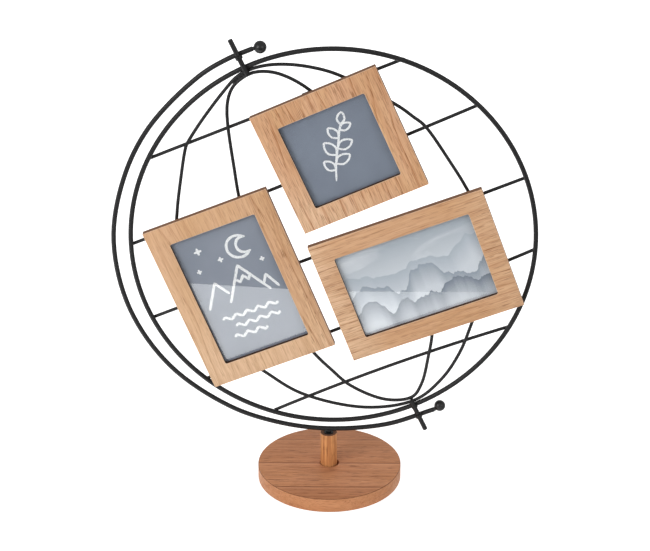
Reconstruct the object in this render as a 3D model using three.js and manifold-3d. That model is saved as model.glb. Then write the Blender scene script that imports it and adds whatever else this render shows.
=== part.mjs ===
// Multi-photo frame in the form of a desk globe: a wire globe with three wooden photo frames turns on a
// tilted axis inside a wire meridian arc, which stands on a wooden post and a round wooden base.
// Millimetres, +Z up, the front faces -Y, and the origin lies under the base on the surface it stands on.
import * as THREE from 'three';
import { mergeVertices } from 'three/addons/utils/BufferGeometryUtils.js';
import Module from 'manifold-3d';

const wasm = await Module();
wasm.setup();

// Driving dimensions of the globe
const GLOBE_CENTRE = [3.5, 0, 268.3];
const GLOBE_RADIUS = 201.8;
const AXIS_TILT = 24.8;
const RING_WIRE = 4.9;
const THIN_WIRE = 3.4;
const GAP = 0.3;
const OVERRUN = 1;

// Depth of each wire layer, from the ring's plane
const MERIDIAN_Y = (RING_WIRE - THIN_WIRE) / 2;
const PARALLEL_Y = MERIDIAN_Y + THIN_WIRE + GAP;

// Wires across the globe: height of the chord at the axis, its slope in degrees, and how far the middle of
// the wire bows from that chord
const PARALLELS = [
  { height: 150.1, slope: -2.2, bow: 0 },
  { height: 76, slope: -1.3, bow: -1.8 },
  { height: -9.4, slope: -2.3, bow: 0 },
  { height: -89.8, slope: -0.9, bow: -2.4 },
  { height: -155.8, slope: -2.6, bow: 3.6 },
];

// Bent wires from pole to pole, as points across and along the axis
const OUTER_MERIDIAN = [
  [0, 197.5], [16, 195.5], [34, 189], [56, 176], [78, 157], [118, 103], [126, 88], [131, 78.5],
  [134.2, 67.5], [140, 29], [143, 4], [144, -20], [139, -59], [122, -102], [88, -143], [65, -167], [36, -187],
  [2, -197.5], [-48, -184], [-101, -142], [-124.5, -104], [-138, -77], [-146.5, -42], [-148.5, 0], [-138, 72],
  [-127, 94], [-104, 130], [-92, 147.5], [-87, 153.5], [-80, 158.7], [-59, 172], [-26, 190], [-12, 196],
];
const INNER_MERIDIAN = [
  [72, 26], [68, 75], [60, 115], [44, 159], [24, 184], [6, 193], [-8, 192.7], [-21, 187.5], [-34, 172],
  [-57, 107], [-64, 84], [-69, 63], [-77, -19], [-75, -77], [-69.5, -106], [-62, -128.5], [-51, -155],
  [-24, -185], [1, -193], [16, -183], [35, -157], [48, -136.5], [57.5, -115],
];
const MERIDIAN_END_TO_CLIP = 8;

// Meridian arc, as angle and distance from the globe's centre
const ARC_LOWEST = 212;
const ARC_BEND = [
  [111, 216], [118, 216.5], [127, 216.5], [146, 216.5], [162, 217], [180, 219], [200, 219], [220, 217.5],
  [240, 214.5], [254, 212.5], [268, ARC_LOWEST], [285, 214], [299, 216],
];
const ARC_BOTTOM = GLOBE_CENTRE[2] - ARC_LOWEST;

// Balls on the arc's ends, each on a stalk and a little nearer the globe than the wire
const BALL_FROM_END = 7.4;
const BALLS = {
  top: { radius: 6.3, inward: 1.4, stalk: 1.7 },
  bottom: { radius: 5.8, inward: 2.1, stalk: 2.2 },
};

// Pins on the axis, and the straps on the arc that they turn in
const PIN_DIAMETER = 4.9;
const PIN_INNER_END = 194.4;
const PIN_OUTER_END = { top: 234, bottom: 230.5 };
const PIN_CHAMFER = 0.5;
const PIN_ACROSS = -0.6;
const PIN_Y = -(RING_WIRE / 2 + GAP + PIN_DIAMETER / 2);
const STRAP_AT = { top: 214.4, bottom: 213 };
const STRAP_WIDTH = 3.8;
const STRAP_WALL = 0.8;

// Stand
const BASE_RADIUS = 74.7;
const BASE_BOTTOM = 0.3;
const BASE_TOP = 15.6;
const BASE_EDGE = 0.6;
const SOCKET_RADIUS = 9.8;
const SOCKET_FLOOR = 8;
const COUNTERBORE_RADIUS = 8;
const COUNTERBORE_TOP = 5.8;
const SCREW_HOLE_RADIUS = 3.3;
const FELT_THICKNESS = 1;
const FELT_RADIUS = 70;
const FELT_CLEARANCE = 0.5;
const POST_X = -0.8;
const POST_RADIUS = 8.6;
const POST_TOP = 52;
const POST_EDGE = 0.6;
const STUD_RADIUS = 2.5;
const STUD_BOTTOM = 40;
const INSERT_RADIUS = 4.2;
const INSERT_BOTTOM = 38.5;
const INSERT_FLANGE_RADIUS = 4.8;
const INSERT_FLANGE = 0.8;
const BASE_SCREW_RADIUS = 2.2;
const BASE_SCREW_HEAD_RADIUS = 4.3;
const BASE_SCREW_HEAD = 2.4;
const BASE_SCREW_HEAD_EDGE = 1;
const BASE_SCREW_TIP = 30;
const WASHER_RADIUS = 7;
const WASHER_THICKNESS = 1.2;

// Photo frames: the visible opening, the centre from the globe's centre, the turn in degrees, and the
// parallel that the upper clip, and where given the lower clip, holds at a distance across the axis
const FRAMES = [
  { name: 'portrait', opening: [91, 142.5], centre: [-93.3, -47.3], turn: 21.8,
    clips: [{ place: 'top', parallel: 1, across: -112 }, { place: 'bottom', parallel: 3, across: -112 }] },
  { name: 'square', opening: [91, 91], centre: [6.1, 101.7], turn: 23.9,
    clips: [{ place: 'top', parallel: 0, across: 40 }, { place: 'bottom', meridianEnd: 0 }] },
  { name: 'landscape', opening: [141, 92.5], centre: [83.2, -31.5], turn: 20.5,
    clips: [{ place: 'top', parallel: 2, across: 112 }, { place: 'bottom', meridianEnd: 1 }] },
];
const FRAME_BORDER = 20.6;
const FRAME_THICKNESS = 7.5;
const FRAME_BACK_Y = -6;
const FRAME_FRONT_Y = FRAME_BACK_Y - FRAME_THICKNESS;
const LIP_THICKNESS = 4.9;
const OPENING_CORNER = 2;
const REBATE = 4.5;
const STACK_GAP = 0.2;
const GLASS_THICKNESS = 0.8;
const CARD_THICKNESS = 0.25;
const BOARD_THICKNESS = 0.95;

// Small hardware on the frames' backs
const PLATE_THICKNESS = 1;
const BUTTON_PIVOT_OUTSIDE_OPENING = 10.8;
const BUTTON_RADIUS = 4.6;
const BUTTON_REACH = 14;
const BUTTON_TIP_RADIUS = 3;
const SCREW_RADIUS = 1.3;
const SCREW_HEAD_RADIUS = 3;
const SCREW_HEAD_EDGE = 0.8;
const SCREW_HEAD = 1.6;
const SCREW_DEPTH = 4;
const CLIP_WIDTH = 8;
const CLIP_CORNER = 1.5;
const CLIP_LENGTH = 7;
const CLIP_SCREW_AT = 9;
const CLIP_PLATE_END = 13.5;
const CLIP_PRONG = 1.8;
const CLIP_MOUTH = 1.2;
const CLIP_ABOVE_WIRE = 1.1;

// Facets round a piece, and steps along a bent wire
const WIRE_SIDES = 8;
const RING_STEPS = 96;
const MERIDIAN_STEPS = 90;
const PARALLEL_STEPS = 6;
const ARC_STEPS = 60;
const ROUND = 20;
const WIDE_ROUND = 48;
const SMALL_ROUND = 12;
const BALL_STEPS = 9;
const CORNER_STEPS = 2;

// Materials
const paint = (color, roughness, metalness) =>
  new THREE.MeshStandardMaterial({ color, roughness, metalness });
const blackWire = paint(0x2b2b2d, 0.5, 0.4);
const blackSteel = paint(0x1f1f22, 0.4, 0.7);
const zincSteel = paint(0xb4b6b8, 0.35, 0.9);
const oakVeneer = paint(0xd2a273, 0.6, 0);
const baseWood = paint(0xb87f59, 0.6, 0);
const postWood = paint(0xc4864f, 0.6, 0);
const glass = paint(0xe4edf0, 0.05, 0);
const slateCard = paint(0x80899a, 0.9, 0);
const paleCard = paint(0xcfd6de, 0.9, 0);
const hardboard = paint(0x8a6a4c, 0.8, 0);
const blackNylon = paint(0x242426, 0.6, 0);
const felt = paint(0x3a3836, 1, 0);

const radians = THREE.MathUtils.degToRad;

// Solids for cutting and joining
function toSolid(geometry) {
  const bare = geometry.clone();
  bare.deleteAttribute('normal');
  bare.deleteAttribute('uv');
  const merged = mergeVertices(bare);
  const corners = merged.index.array;
  const triVerts = [];
  for (let i = 0; i < corners.length; i += 3) {
    const [a, b, c] = corners.slice(i, i + 3);
    if (a !== b && b !== c && c !== a) triVerts.push(a, b, c);
  }
  const vertProperties = Float32Array.from(merged.attributes.position.array);
  const mesh = new wasm.Mesh({ numProp: 3, vertProperties, triVerts: Uint32Array.from(triVerts) });
  return new wasm.Manifold(mesh);
}

function toGeometry(solid) {
  const { vertProperties, triVerts } = solid.getMesh();
  const geometry = new THREE.BufferGeometry();
  geometry.setAttribute('position', new THREE.BufferAttribute(vertProperties, 3));
  geometry.setIndex(new THREE.BufferAttribute(triVerts, 1));
  geometry.computeVertexNormals();
  return geometry;
}

const cut = (body, tools) =>
  toGeometry(tools.reduce((left, tool) => left.subtract(toSolid(tool)), toSolid(body)));
const join = (first, second) => toGeometry(toSolid(first).add(toSolid(second)));

// Basic shapes
function piece(parent, name, geometry, material) {
  const mesh = new THREE.Mesh(geometry, material);
  mesh.name = name;
  parent.add(mesh);
  return mesh;
}

function group(parent, x, y, z, tilt = 0) {
  const holder = new THREE.Group();
  holder.position.set(x, y, z);
  holder.rotation.y = -radians(tilt);
  parent.add(holder);
  return holder;
}

// A turned piece about the Z axis, from a profile of radius and height
function turned(profile, sides = ROUND) {
  const points = profile.map(([radius, height]) => new THREE.Vector2(radius, height));
  return new THREE.LatheGeometry(points, sides).rotateX(Math.PI / 2);
}

const rod = (radius, bottom, top, sides = ROUND) =>
  turned([[0, bottom], [radius, bottom], [radius, top], [0, top]], sides);

// A rod along Y, from the front to the back
const rodAlongY = (radius, front, back, sides = SMALL_ROUND) =>
  rod(radius, -back, -front, sides).rotateX(Math.PI / 2);

// A flat plate that lies in the XZ plane, from an outline of x and z
function plate(outline, backY, thickness) {
  const options = { depth: thickness, bevelEnabled: false, curveSegments: CORNER_STEPS };
  return new THREE.ExtrudeGeometry(outline, options).rotateX(Math.PI / 2).translate(0, backY, 0);
}

function rectangle(width, height, corner = 0) {
  const [x, z] = [width / 2, height / 2];
  const outline = new THREE.Shape();
  if (corner === 0) {
    outline.moveTo(-x, -z).lineTo(x, -z).lineTo(x, z).lineTo(-x, z).closePath();
    return outline;
  }
  outline.absarc(x - corner, z - corner, corner, 0, Math.PI / 2);
  outline.absarc(corner - x, z - corner, corner, Math.PI / 2, Math.PI);
  outline.absarc(corner - x, corner - z, corner, Math.PI, 1.5 * Math.PI);
  outline.absarc(x - corner, corner - z, corner, 1.5 * Math.PI, 2 * Math.PI);
  return outline.closePath();
}

// Wires
const spline = (points, y, closed) =>
  new THREE.CatmullRomCurve3(points.map(([across, along]) => new THREE.Vector3(across, y, along)), closed);

function openWire(path, diameter, steps) {
  const section = new THREE.Shape().absarc(0, 0, diameter / 2, 0, 2 * Math.PI);
  const options = { steps, extrudePath: path, curveSegments: WIRE_SIDES / 2 };
  return new THREE.ExtrudeGeometry(section, options);
}

const fromPolar = ([angle, distance]) =>
  [distance * Math.cos(radians(angle)), distance * Math.sin(radians(angle))];
const arcPath = spline(ARC_BEND.map(fromPolar), 0, false);
const outerPath = spline(OUTER_MERIDIAN, MERIDIAN_Y, true);
const innerPath = spline(INNER_MERIDIAN, MERIDIAN_Y, false);

// The two ends of a parallel across the axis, where it lies behind the ring's wire
function parallelEnds({ height, slope }) {
  const rise = Math.tan(radians(slope));
  const middle = -height * rise / (1 + rise * rise);
  const half = Math.sqrt(GLOBE_RADIUS ** 2 * (1 + rise * rise) - height * height) / (1 + rise * rise);
  return [middle - half, middle + half];
}

// Height of a parallel at a distance across the axis
function parallelHeight(line, across) {
  const [left, right] = parallelEnds(line);
  const share = (across - left) / (right - left);
  return line.height + Math.tan(radians(line.slope)) * across + 4 * line.bow * share * (1 - share);
}

function parallelPath(line) {
  const [start, end] = parallelEnds(line).map((across) =>
    new THREE.Vector3(across, PARALLEL_Y, parallelHeight(line, across)));
  const control = start.clone().lerp(end, 0.5);
  control.z += 2 * line.bow;
  return new THREE.QuadraticBezierCurve3(start, control, end);
}

// A ball whose stalk stands on an end of the arc's wire
function ballOn(path, at, { radius, inward, stalk }) {
  const end = path.getPointAt(at);
  const outward = path.getTangentAt(at).multiplyScalar(at === 0 ? -1 : 1);
  const centre = end.clone().addScaledVector(outward, BALL_FROM_END);
  centre.addScaledVector(end.clone().normalize(), -inward);
  const lean = inward / BALL_FROM_END;
  const reach = end.distanceTo(centre) - GAP - stalk * lean;
  const profile = [[0, -reach], [stalk, -reach]];
  const foot = Math.acos(stalk / radius);
  for (let step = 0; step < BALL_STEPS; step += 1) {
    const angle = (foot + Math.PI / 2) * step / BALL_STEPS - foot;
    profile.push([radius * Math.cos(angle), radius * Math.sin(angle)]);
  }
  profile.push([0, radius]);
  const away = centre.clone().sub(end).normalize();
  const turn = new THREE.Quaternion().setFromUnitVectors(new THREE.Vector3(0, 0, 1), away);
  return turned(profile).applyQuaternion(turn).translate(centre.x, centre.y, centre.z);
}

// A strap that holds a pin against the arc's front
function pivotStrap() {
  const bore = PIN_DIAMETER / 2 + GAP;
  const outside = bore + STRAP_WALL;
  const feet = -(RING_WIRE / 2 + GAP);
  const outline = new THREE.Shape();
  outline.moveTo(outside, feet);
  outline.lineTo(bore, feet);
  outline.lineTo(bore, PIN_Y);
  outline.absarc(0, PIN_Y, bore, 0, Math.PI, true);
  outline.lineTo(-bore, feet);
  outline.lineTo(-outside, feet);
  outline.lineTo(-outside, PIN_Y);
  outline.absarc(0, PIN_Y, outside, Math.PI, 2 * Math.PI, false);
  outline.closePath();
  const options = { depth: STRAP_WIDTH, bevelEnabled: false, curveSegments: SMALL_ROUND / 2 };
  return new THREE.ExtrudeGeometry(outline, options).translate(0, 0, -STRAP_WIDTH / 2);
}

const axisPin = (outerEnd) => turned([
  [0, PIN_INNER_END], [PIN_DIAMETER / 2 - PIN_CHAMFER, PIN_INNER_END],
  [PIN_DIAMETER / 2, PIN_INNER_END + PIN_CHAMFER], [PIN_DIAMETER / 2, outerEnd - PIN_CHAMFER],
  [PIN_DIAMETER / 2 - PIN_CHAMFER, outerEnd], [0, outerEnd],
], SMALL_ROUND);

// Stand
function buildStand(parent) {
  piece(parent, 'felt_pad', rod(FELT_RADIUS, 0, FELT_THICKNESS, WIDE_ROUND), felt);

  const recessTop = FELT_THICKNESS + GAP;
  const recessRadius = FELT_RADIUS + FELT_CLEARANCE;
  piece(parent, 'base', turned([
    [COUNTERBORE_RADIUS, recessTop], [recessRadius, recessTop], [recessRadius, BASE_BOTTOM],
    [BASE_RADIUS - BASE_EDGE, BASE_BOTTOM], [BASE_RADIUS, BASE_BOTTOM + BASE_EDGE],
    [BASE_RADIUS, BASE_TOP - BASE_EDGE], [BASE_RADIUS - BASE_EDGE, BASE_TOP], [SOCKET_RADIUS, BASE_TOP],
    [SOCKET_RADIUS, SOCKET_FLOOR], [SCREW_HOLE_RADIUS, SOCKET_FLOOR], [SCREW_HOLE_RADIUS, COUNTERBORE_TOP],
    [COUNTERBORE_RADIUS, COUNTERBORE_TOP], [COUNTERBORE_RADIUS, recessTop],
  ], WIDE_ROUND), baseWood);

  const post = group(parent, POST_X, 0, 0);
  const postFoot = SOCKET_FLOOR + GAP;
  const flangeBottom = POST_TOP - INSERT_FLANGE;
  piece(post, 'post', cut(turned([
    [0, postFoot], [POST_RADIUS, postFoot], [POST_RADIUS, POST_TOP - POST_EDGE],
    [POST_RADIUS - POST_EDGE, POST_TOP], [0, POST_TOP],
  ]), [
    rod(BASE_SCREW_RADIUS + GAP, postFoot - OVERRUN, BASE_SCREW_TIP + GAP, SMALL_ROUND),
    rod(INSERT_RADIUS + GAP, INSERT_BOTTOM - GAP, POST_TOP + OVERRUN, SMALL_ROUND),
    rod(INSERT_FLANGE_RADIUS + GAP, flangeBottom - GAP, POST_TOP + OVERRUN, ROUND),
  ]), postWood);

  const threadRadius = STUD_RADIUS + GAP;
  piece(post, 'threaded_insert', turned([
    [threadRadius, INSERT_BOTTOM], [INSERT_RADIUS, INSERT_BOTTOM], [INSERT_RADIUS, flangeBottom],
    [INSERT_FLANGE_RADIUS, flangeBottom], [INSERT_FLANGE_RADIUS, POST_TOP], [threadRadius, POST_TOP],
    [threadRadius, INSERT_BOTTOM],
  ], SMALL_ROUND), blackSteel);
  const studTop = ARC_BOTTOM - RING_WIRE / 2 - GAP;
  piece(post, 'arc_stud', rod(STUD_RADIUS, STUD_BOTTOM, studTop, SMALL_ROUND), blackWire);

  const washerTop = COUNTERBORE_TOP - GAP;
  const washerBottom = washerTop - WASHER_THICKNESS;
  piece(post, 'base_washer', turned([
    [BASE_SCREW_RADIUS + GAP, washerBottom], [WASHER_RADIUS, washerBottom], [WASHER_RADIUS, washerTop],
    [BASE_SCREW_RADIUS + GAP, washerTop], [BASE_SCREW_RADIUS + GAP, washerBottom],
  ]), zincSteel);
  const headTop = washerBottom - GAP;
  const headBottom = headTop - BASE_SCREW_HEAD;
  piece(post, 'base_screw', turned([
    [0, headBottom], [BASE_SCREW_HEAD_RADIUS - BASE_SCREW_HEAD_EDGE, headBottom],
    [BASE_SCREW_HEAD_RADIUS, headTop - BASE_SCREW_HEAD / 2], [BASE_SCREW_HEAD_RADIUS, headTop],
    [BASE_SCREW_RADIUS, headTop], [BASE_SCREW_RADIUS, BASE_SCREW_TIP - BASE_SCREW_RADIUS],
    [0, BASE_SCREW_TIP],
  ], SMALL_ROUND), zincSteel);
}

// Meridian arc with its balls and pivot straps
function buildArc(parent) {
  const centre = group(parent, ...GLOBE_CENTRE);
  piece(centre, 'meridian_arc', openWire(arcPath, RING_WIRE, ARC_STEPS), blackWire);
  piece(centre, 'arc_ball_top', ballOn(arcPath, 0, BALLS.top), blackWire);
  piece(centre, 'arc_ball_bottom', ballOn(arcPath, 1, BALLS.bottom), blackWire);
  const axis = group(centre, 0, 0, 0, AXIS_TILT);
  piece(axis, 'pivot_strap_top', pivotStrap(), blackWire).position.set(PIN_ACROSS, 0, STRAP_AT.top);
  piece(axis, 'pivot_strap_bottom', pivotStrap(), blackWire).position.set(PIN_ACROSS, 0, -STRAP_AT.bottom);
}

// Wire globe on its axis pins
function buildGlobe(parent) {
  const grid = group(parent, 0, 0, 0, AXIS_TILT);
  const ring = new THREE.TorusGeometry(GLOBE_RADIUS, RING_WIRE / 2, WIRE_SIDES, RING_STEPS);
  piece(grid, 'globe_ring', ring.rotateX(Math.PI / 2), blackWire);
  const pinTop = axisPin(PIN_OUTER_END.top);
  const pinBottom = axisPin(PIN_OUTER_END.bottom).rotateX(Math.PI);
  piece(grid, 'axis_pin_top', pinTop.translate(PIN_ACROSS, PIN_Y, 0), blackWire);
  piece(grid, 'axis_pin_bottom', pinBottom.translate(PIN_ACROSS, PIN_Y, 0), blackWire);
  PARALLELS.forEach((line, index) => {
    const wire = openWire(parallelPath(line), THIN_WIRE, PARALLEL_STEPS);
    piece(grid, `parallel_wire_${index + 1}`, wire, blackWire);
  });
  const outer = new THREE.TubeGeometry(outerPath, MERIDIAN_STEPS, THIN_WIRE / 2, WIRE_SIDES, true);
  piece(grid, 'meridian_wire_outer', outer, blackWire);
  piece(grid, 'meridian_wire_inner', openWire(innerPath, THIN_WIRE, MERIDIAN_STEPS), blackWire);
  return grid;
}

// A pan-head wood screw through a thin plate on a frame's back
function plateScrew() {
  const underHead = FRAME_BACK_Y + GAP + PLATE_THICKNESS + GAP;
  const tip = FRAME_BACK_Y - SCREW_DEPTH;
  return turned([
    [0, -underHead - SCREW_HEAD], [SCREW_HEAD_RADIUS - SCREW_HEAD_EDGE, -underHead - SCREW_HEAD],
    [SCREW_HEAD_RADIUS, -underHead - SCREW_HEAD / 2], [SCREW_HEAD_RADIUS, -underHead],
    [SCREW_RADIUS, -underHead], [SCREW_RADIUS, -tip - SCREW_RADIUS], [0, -tip],
  ], SMALL_ROUND).rotateX(Math.PI / 2);
}

// Clearance for a screw, in a plate or in a frame's back
const screwHole = (front, back) => rodAlongY(SCREW_RADIUS + GAP, front, back);

// A moulded clip with a forked end that grips a wire lying along its X axis
function wireClip(wireY, turnedAcross) {
  const seat = FRAME_BACK_Y + GAP;
  const groove = THIN_WIRE / 2 + GAP;
  const side = groove + CLIP_PRONG;
  const lips = wireY + groove;
  const fork = new THREE.Shape();
  fork.moveTo(-side, seat);
  fork.lineTo(side, seat);
  fork.lineTo(side, lips + CLIP_ABOVE_WIRE);
  fork.lineTo(CLIP_MOUTH, lips + CLIP_ABOVE_WIRE);
  fork.lineTo(CLIP_MOUTH, lips);
  fork.lineTo(groove, lips - groove + CLIP_MOUTH);
  fork.lineTo(groove, wireY);
  fork.absarc(0, wireY, groove, 0, Math.PI, true);
  fork.lineTo(-groove, lips - groove + CLIP_MOUTH);
  fork.lineTo(-CLIP_MOUTH, lips);
  fork.lineTo(-CLIP_MOUTH, lips + CLIP_ABOVE_WIRE);
  fork.lineTo(-side, lips + CLIP_ABOVE_WIRE);
  fork.closePath();
  const options = { depth: CLIP_LENGTH, bevelEnabled: false, curveSegments: SMALL_ROUND / 4 };
  const prongs = new THREE.ExtrudeGeometry(fork, options).rotateY(Math.PI / 2);
  prongs.translate(-CLIP_LENGTH / 2, 0, 0);
  const length = CLIP_PLATE_END + CLIP_LENGTH / 2;
  const foot = plate(rectangle(length, CLIP_WIDTH, CLIP_CORNER), seat + PLATE_THICKNESS, PLATE_THICKNESS);
  foot.translate(length / 2 - CLIP_LENGTH / 2, 0, 0);
  const hole = screwHole(seat - OVERRUN, seat + PLATE_THICKNESS + OVERRUN).translate(CLIP_SCREW_AT, 0, 0);
  if (turnedAcross) prongs.rotateY(Math.PI / 2);
  return cut(join(prongs, foot), [hole]);
}

// A turn button that points along its X axis
function turnButton() {
  const lean = Math.asin((BUTTON_RADIUS - BUTTON_TIP_RADIUS) / (BUTTON_REACH - BUTTON_TIP_RADIUS));
  const outline = new THREE.Shape();
  outline.absarc(0, 0, BUTTON_RADIUS, Math.PI / 2 - lean, 1.5 * Math.PI + lean);
  const tipX = BUTTON_REACH - BUTTON_TIP_RADIUS;
  outline.absarc(tipX, 0, BUTTON_TIP_RADIUS, lean - Math.PI / 2, Math.PI / 2 - lean);
  outline.closePath();
  const back = FRAME_BACK_Y + GAP + PLATE_THICKNESS;
  const hole = screwHole(back - PLATE_THICKNESS - OVERRUN, back + OVERRUN);
  return cut(plate(outline, back, PLATE_THICKNESS), [hole]);
}

// Where a clip sits on its wire, as a group in the wire grid
function clipGroup(grid, clip) {
  if (clip.parallel !== undefined) {
    const line = PARALLELS[clip.parallel];
    return group(grid, clip.across, 0, parallelHeight(line, clip.across), line.slope);
  }
  const share = MERIDIAN_END_TO_CLIP / innerPath.getLength();
  const at = clip.meridianEnd === 0 ? share : 1 - share;
  const point = innerPath.getPointAt(at);
  const heading = innerPath.getTangentAt(at);
  const tilt = THREE.MathUtils.radToDeg(Math.atan2(heading.z, heading.x)) - Math.sign(heading.z) * 90;
  return group(grid, point.x, 0, point.z, tilt);
}

// One photo frame with its glazing, card, back board, turn buttons and wire clips
function buildFrame(parent, grid, { name, opening, centre, turn, clips }) {
  const frame = group(parent, centre[0], 0, centre[1], turn);
  const [width, height] = opening;
  const pilotHoles = [];

  const pivotX = width / 2 + BUTTON_PIVOT_OUTSIDE_OPENING;
  for (const [side, x] of [['left', -pivotX], ['right', pivotX]]) {
    const button = turnButton();
    if (side === 'right') button.rotateY(Math.PI);
    piece(frame, `${name}_turn_button_${side}`, button, blackSteel).position.x = x;
    piece(frame, `${name}_button_screw_${side}`, plateScrew(), zincSteel).position.x = x;
    pilotHoles.push(new THREE.Vector3(x, 0, 0));
  }

  for (const clip of clips) {
    const holder = clipGroup(grid, clip);
    const onMeridian = clip.parallel === undefined;
    const wireY = onMeridian ? MERIDIAN_Y : PARALLEL_Y;
    piece(holder, `${name}_wire_clip_${clip.place}`, wireClip(wireY, onMeridian), blackNylon);
    piece(holder, `${name}_clip_screw_${clip.place}`, plateScrew(), zincSteel).position.x = CLIP_SCREW_AT;
    frame.updateWorldMatrix(true, false);
    holder.updateWorldMatrix(true, false);
    const screwAt = holder.localToWorld(new THREE.Vector3(CLIP_SCREW_AT, 0, 0));
    pilotHoles.push(frame.worldToLocal(screwAt));
  }

  const lip = rectangle(width + 2 * FRAME_BORDER, height + 2 * FRAME_BORDER);
  lip.holes.push(rectangle(width, height, OPENING_CORNER));
  const rim = rectangle(width + 2 * FRAME_BORDER, height + 2 * FRAME_BORDER);
  const inset = 2 * (REBATE + GAP);
  rim.holes.push(rectangle(width + inset, height + inset));
  const lipBack = FRAME_FRONT_Y + LIP_THICKNESS;
  const board = join(plate(lip, lipBack, LIP_THICKNESS), plate(rim, FRAME_BACK_Y, FRAME_BACK_Y - lipBack));
  const holes = pilotHoles.map(({ x, z }) =>
    screwHole(FRAME_BACK_Y - SCREW_DEPTH - GAP, FRAME_BACK_Y + OVERRUN).translate(x, 0, z));
  piece(frame, `${name}_frame`, cut(board, holes), oakVeneer);

  const sheet = rectangle(width + 2 * REBATE, height + 2 * REBATE);
  const glassBack = lipBack + STACK_GAP + GLASS_THICKNESS;
  const cardBack = glassBack + STACK_GAP + CARD_THICKNESS;
  const boardBack = cardBack + STACK_GAP + BOARD_THICKNESS;
  const card = name === 'landscape' ? paleCard : slateCard;
  piece(frame, `${name}_glass`, plate(sheet, glassBack, GLASS_THICKNESS), glass);
  piece(frame, `${name}_photo_card`, plate(sheet, cardBack, CARD_THICKNESS), card);
  piece(frame, `${name}_back_board`, plate(sheet, boardBack, BOARD_THICKNESS), hardboard);
}

const object = new THREE.Group();
buildStand(object);
buildArc(object);
const globe = group(object, ...GLOBE_CENTRE);
const grid = buildGlobe(globe);
for (const frame of FRAMES) buildFrame(globe, grid, frame);

export default object;
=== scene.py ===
"""Looks of the photo frame in the form of a wire desk globe: painted wires, veneered frames and the stand.

Sizes are millimetres and become metres where a mesh is made. The front faces -Y and +Z is up.
"""
import math

import bmesh
import bpy
from mathutils import Matrix, Vector, noise


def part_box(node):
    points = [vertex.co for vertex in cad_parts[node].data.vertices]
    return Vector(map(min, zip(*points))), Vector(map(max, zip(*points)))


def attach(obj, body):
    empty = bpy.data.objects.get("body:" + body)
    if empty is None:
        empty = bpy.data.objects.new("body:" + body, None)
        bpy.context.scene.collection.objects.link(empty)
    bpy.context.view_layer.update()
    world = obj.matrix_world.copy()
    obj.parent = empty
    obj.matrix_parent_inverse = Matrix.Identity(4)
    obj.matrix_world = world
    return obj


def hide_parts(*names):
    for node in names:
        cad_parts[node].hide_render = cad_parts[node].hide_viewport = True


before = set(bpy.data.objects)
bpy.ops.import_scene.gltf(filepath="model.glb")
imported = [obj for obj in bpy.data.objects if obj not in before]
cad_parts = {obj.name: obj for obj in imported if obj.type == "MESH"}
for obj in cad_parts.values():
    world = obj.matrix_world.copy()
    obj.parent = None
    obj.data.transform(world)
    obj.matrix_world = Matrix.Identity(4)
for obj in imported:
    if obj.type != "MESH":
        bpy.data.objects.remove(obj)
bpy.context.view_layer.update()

MM = 0.001

# Wire globe
GLOBE_CENTRE = Vector((3.5, 0, 268.3))
GLOBE_RADIUS = 201.8
AXIS_TILT = 24.8
RING_WIRE = 4.9
THIN_WIRE = 3.4
GAP = 0.3
MERIDIAN_Y = (RING_WIRE - THIN_WIRE) / 2
PARALLEL_Y = MERIDIAN_Y + THIN_WIRE + GAP

# Blunt wire ends: the dome's height as a share of the radius, and the turns of its rings in degrees
WIRE_END_DOME = 0.2
WIRE_END_TURNS = (25, 50, 72)

# Parallels, as height on the tilted axis, slope in degrees and bow
PARALLELS = [(150.1, -2.2, 0), (76, -1.3, -1.8), (-9.4, -2.3, 0), (-89.8, -0.9, -2.4), (-155.8, -2.6, 3.6)]

# Meridians, as points across and along the tilted axis
OUTER_MERIDIAN = [
    (0, 197.5), (16, 195.5), (34, 189), (56, 176), (78, 157), (118, 103), (126, 88), (131, 78.5),
    (134.2, 67.5), (140, 29), (143, 4), (144, -20), (139, -59), (122, -102), (88, -143), (65, -167),
    (36, -187), (2, -197.5), (-48, -184), (-101, -142), (-124.5, -104), (-138, -77), (-146.5, -42),
    (-148.5, 0), (-138, 72), (-127, 94), (-104, 130), (-92, 147.5), (-87, 153.5), (-80, 158.7),
    (-59, 172), (-26, 190), (-12, 196),
]
INNER_MERIDIAN = [
    (72, 26), (68, 75), (60, 115), (44, 159), (24, 184), (6, 193), (-8, 192.7), (-21, 187.5), (-34, 172),
    (-57, 107), (-64, 84), (-69, 63), (-77, -19), (-75, -77), (-69.5, -106), (-62, -128.5), (-51, -155),
    (-24, -185), (1, -193), (16, -183), (35, -157), (48, -136.5), (57.5, -115),
]

# Pins on the tilted axis
PIN_DIAMETER = 4.9
PIN_INNER_END = 194.4
PIN_OUTER_END = {"top": 234, "bottom": 230.5}
PIN_ACROSS = -0.6
PIN_Y = -(RING_WIRE / 2 + GAP + PIN_DIAMETER / 2)

# Meridian arc, as angle and distance from the globe's centre
ARC_LOWEST = 212
ARC_BEND = [
    (111, 216), (118, 216.5), (127, 216.5), (146, 216.5), (162, 217), (180, 219), (200, 219), (220, 217.5),
    (240, 214.5), (254, 212.5), (268, ARC_LOWEST), (285, 214), (299, 216),
]

# Balls on the arc's ends: radius, shift inward and stalk radius
BALLS = {"top": (6.3, 1.4, 1.7), "bottom": (5.8, 2.1, 2.2)}
BALL_FROM_END = 7.4
BALL_CROWN = 86
STALK_FLARE = 0.5

# Fillet between a ball and its stalk, as added radius and drop below the ball
STALK_FILLET = [(0, 0.8), (0.2, 0.25)]

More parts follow.
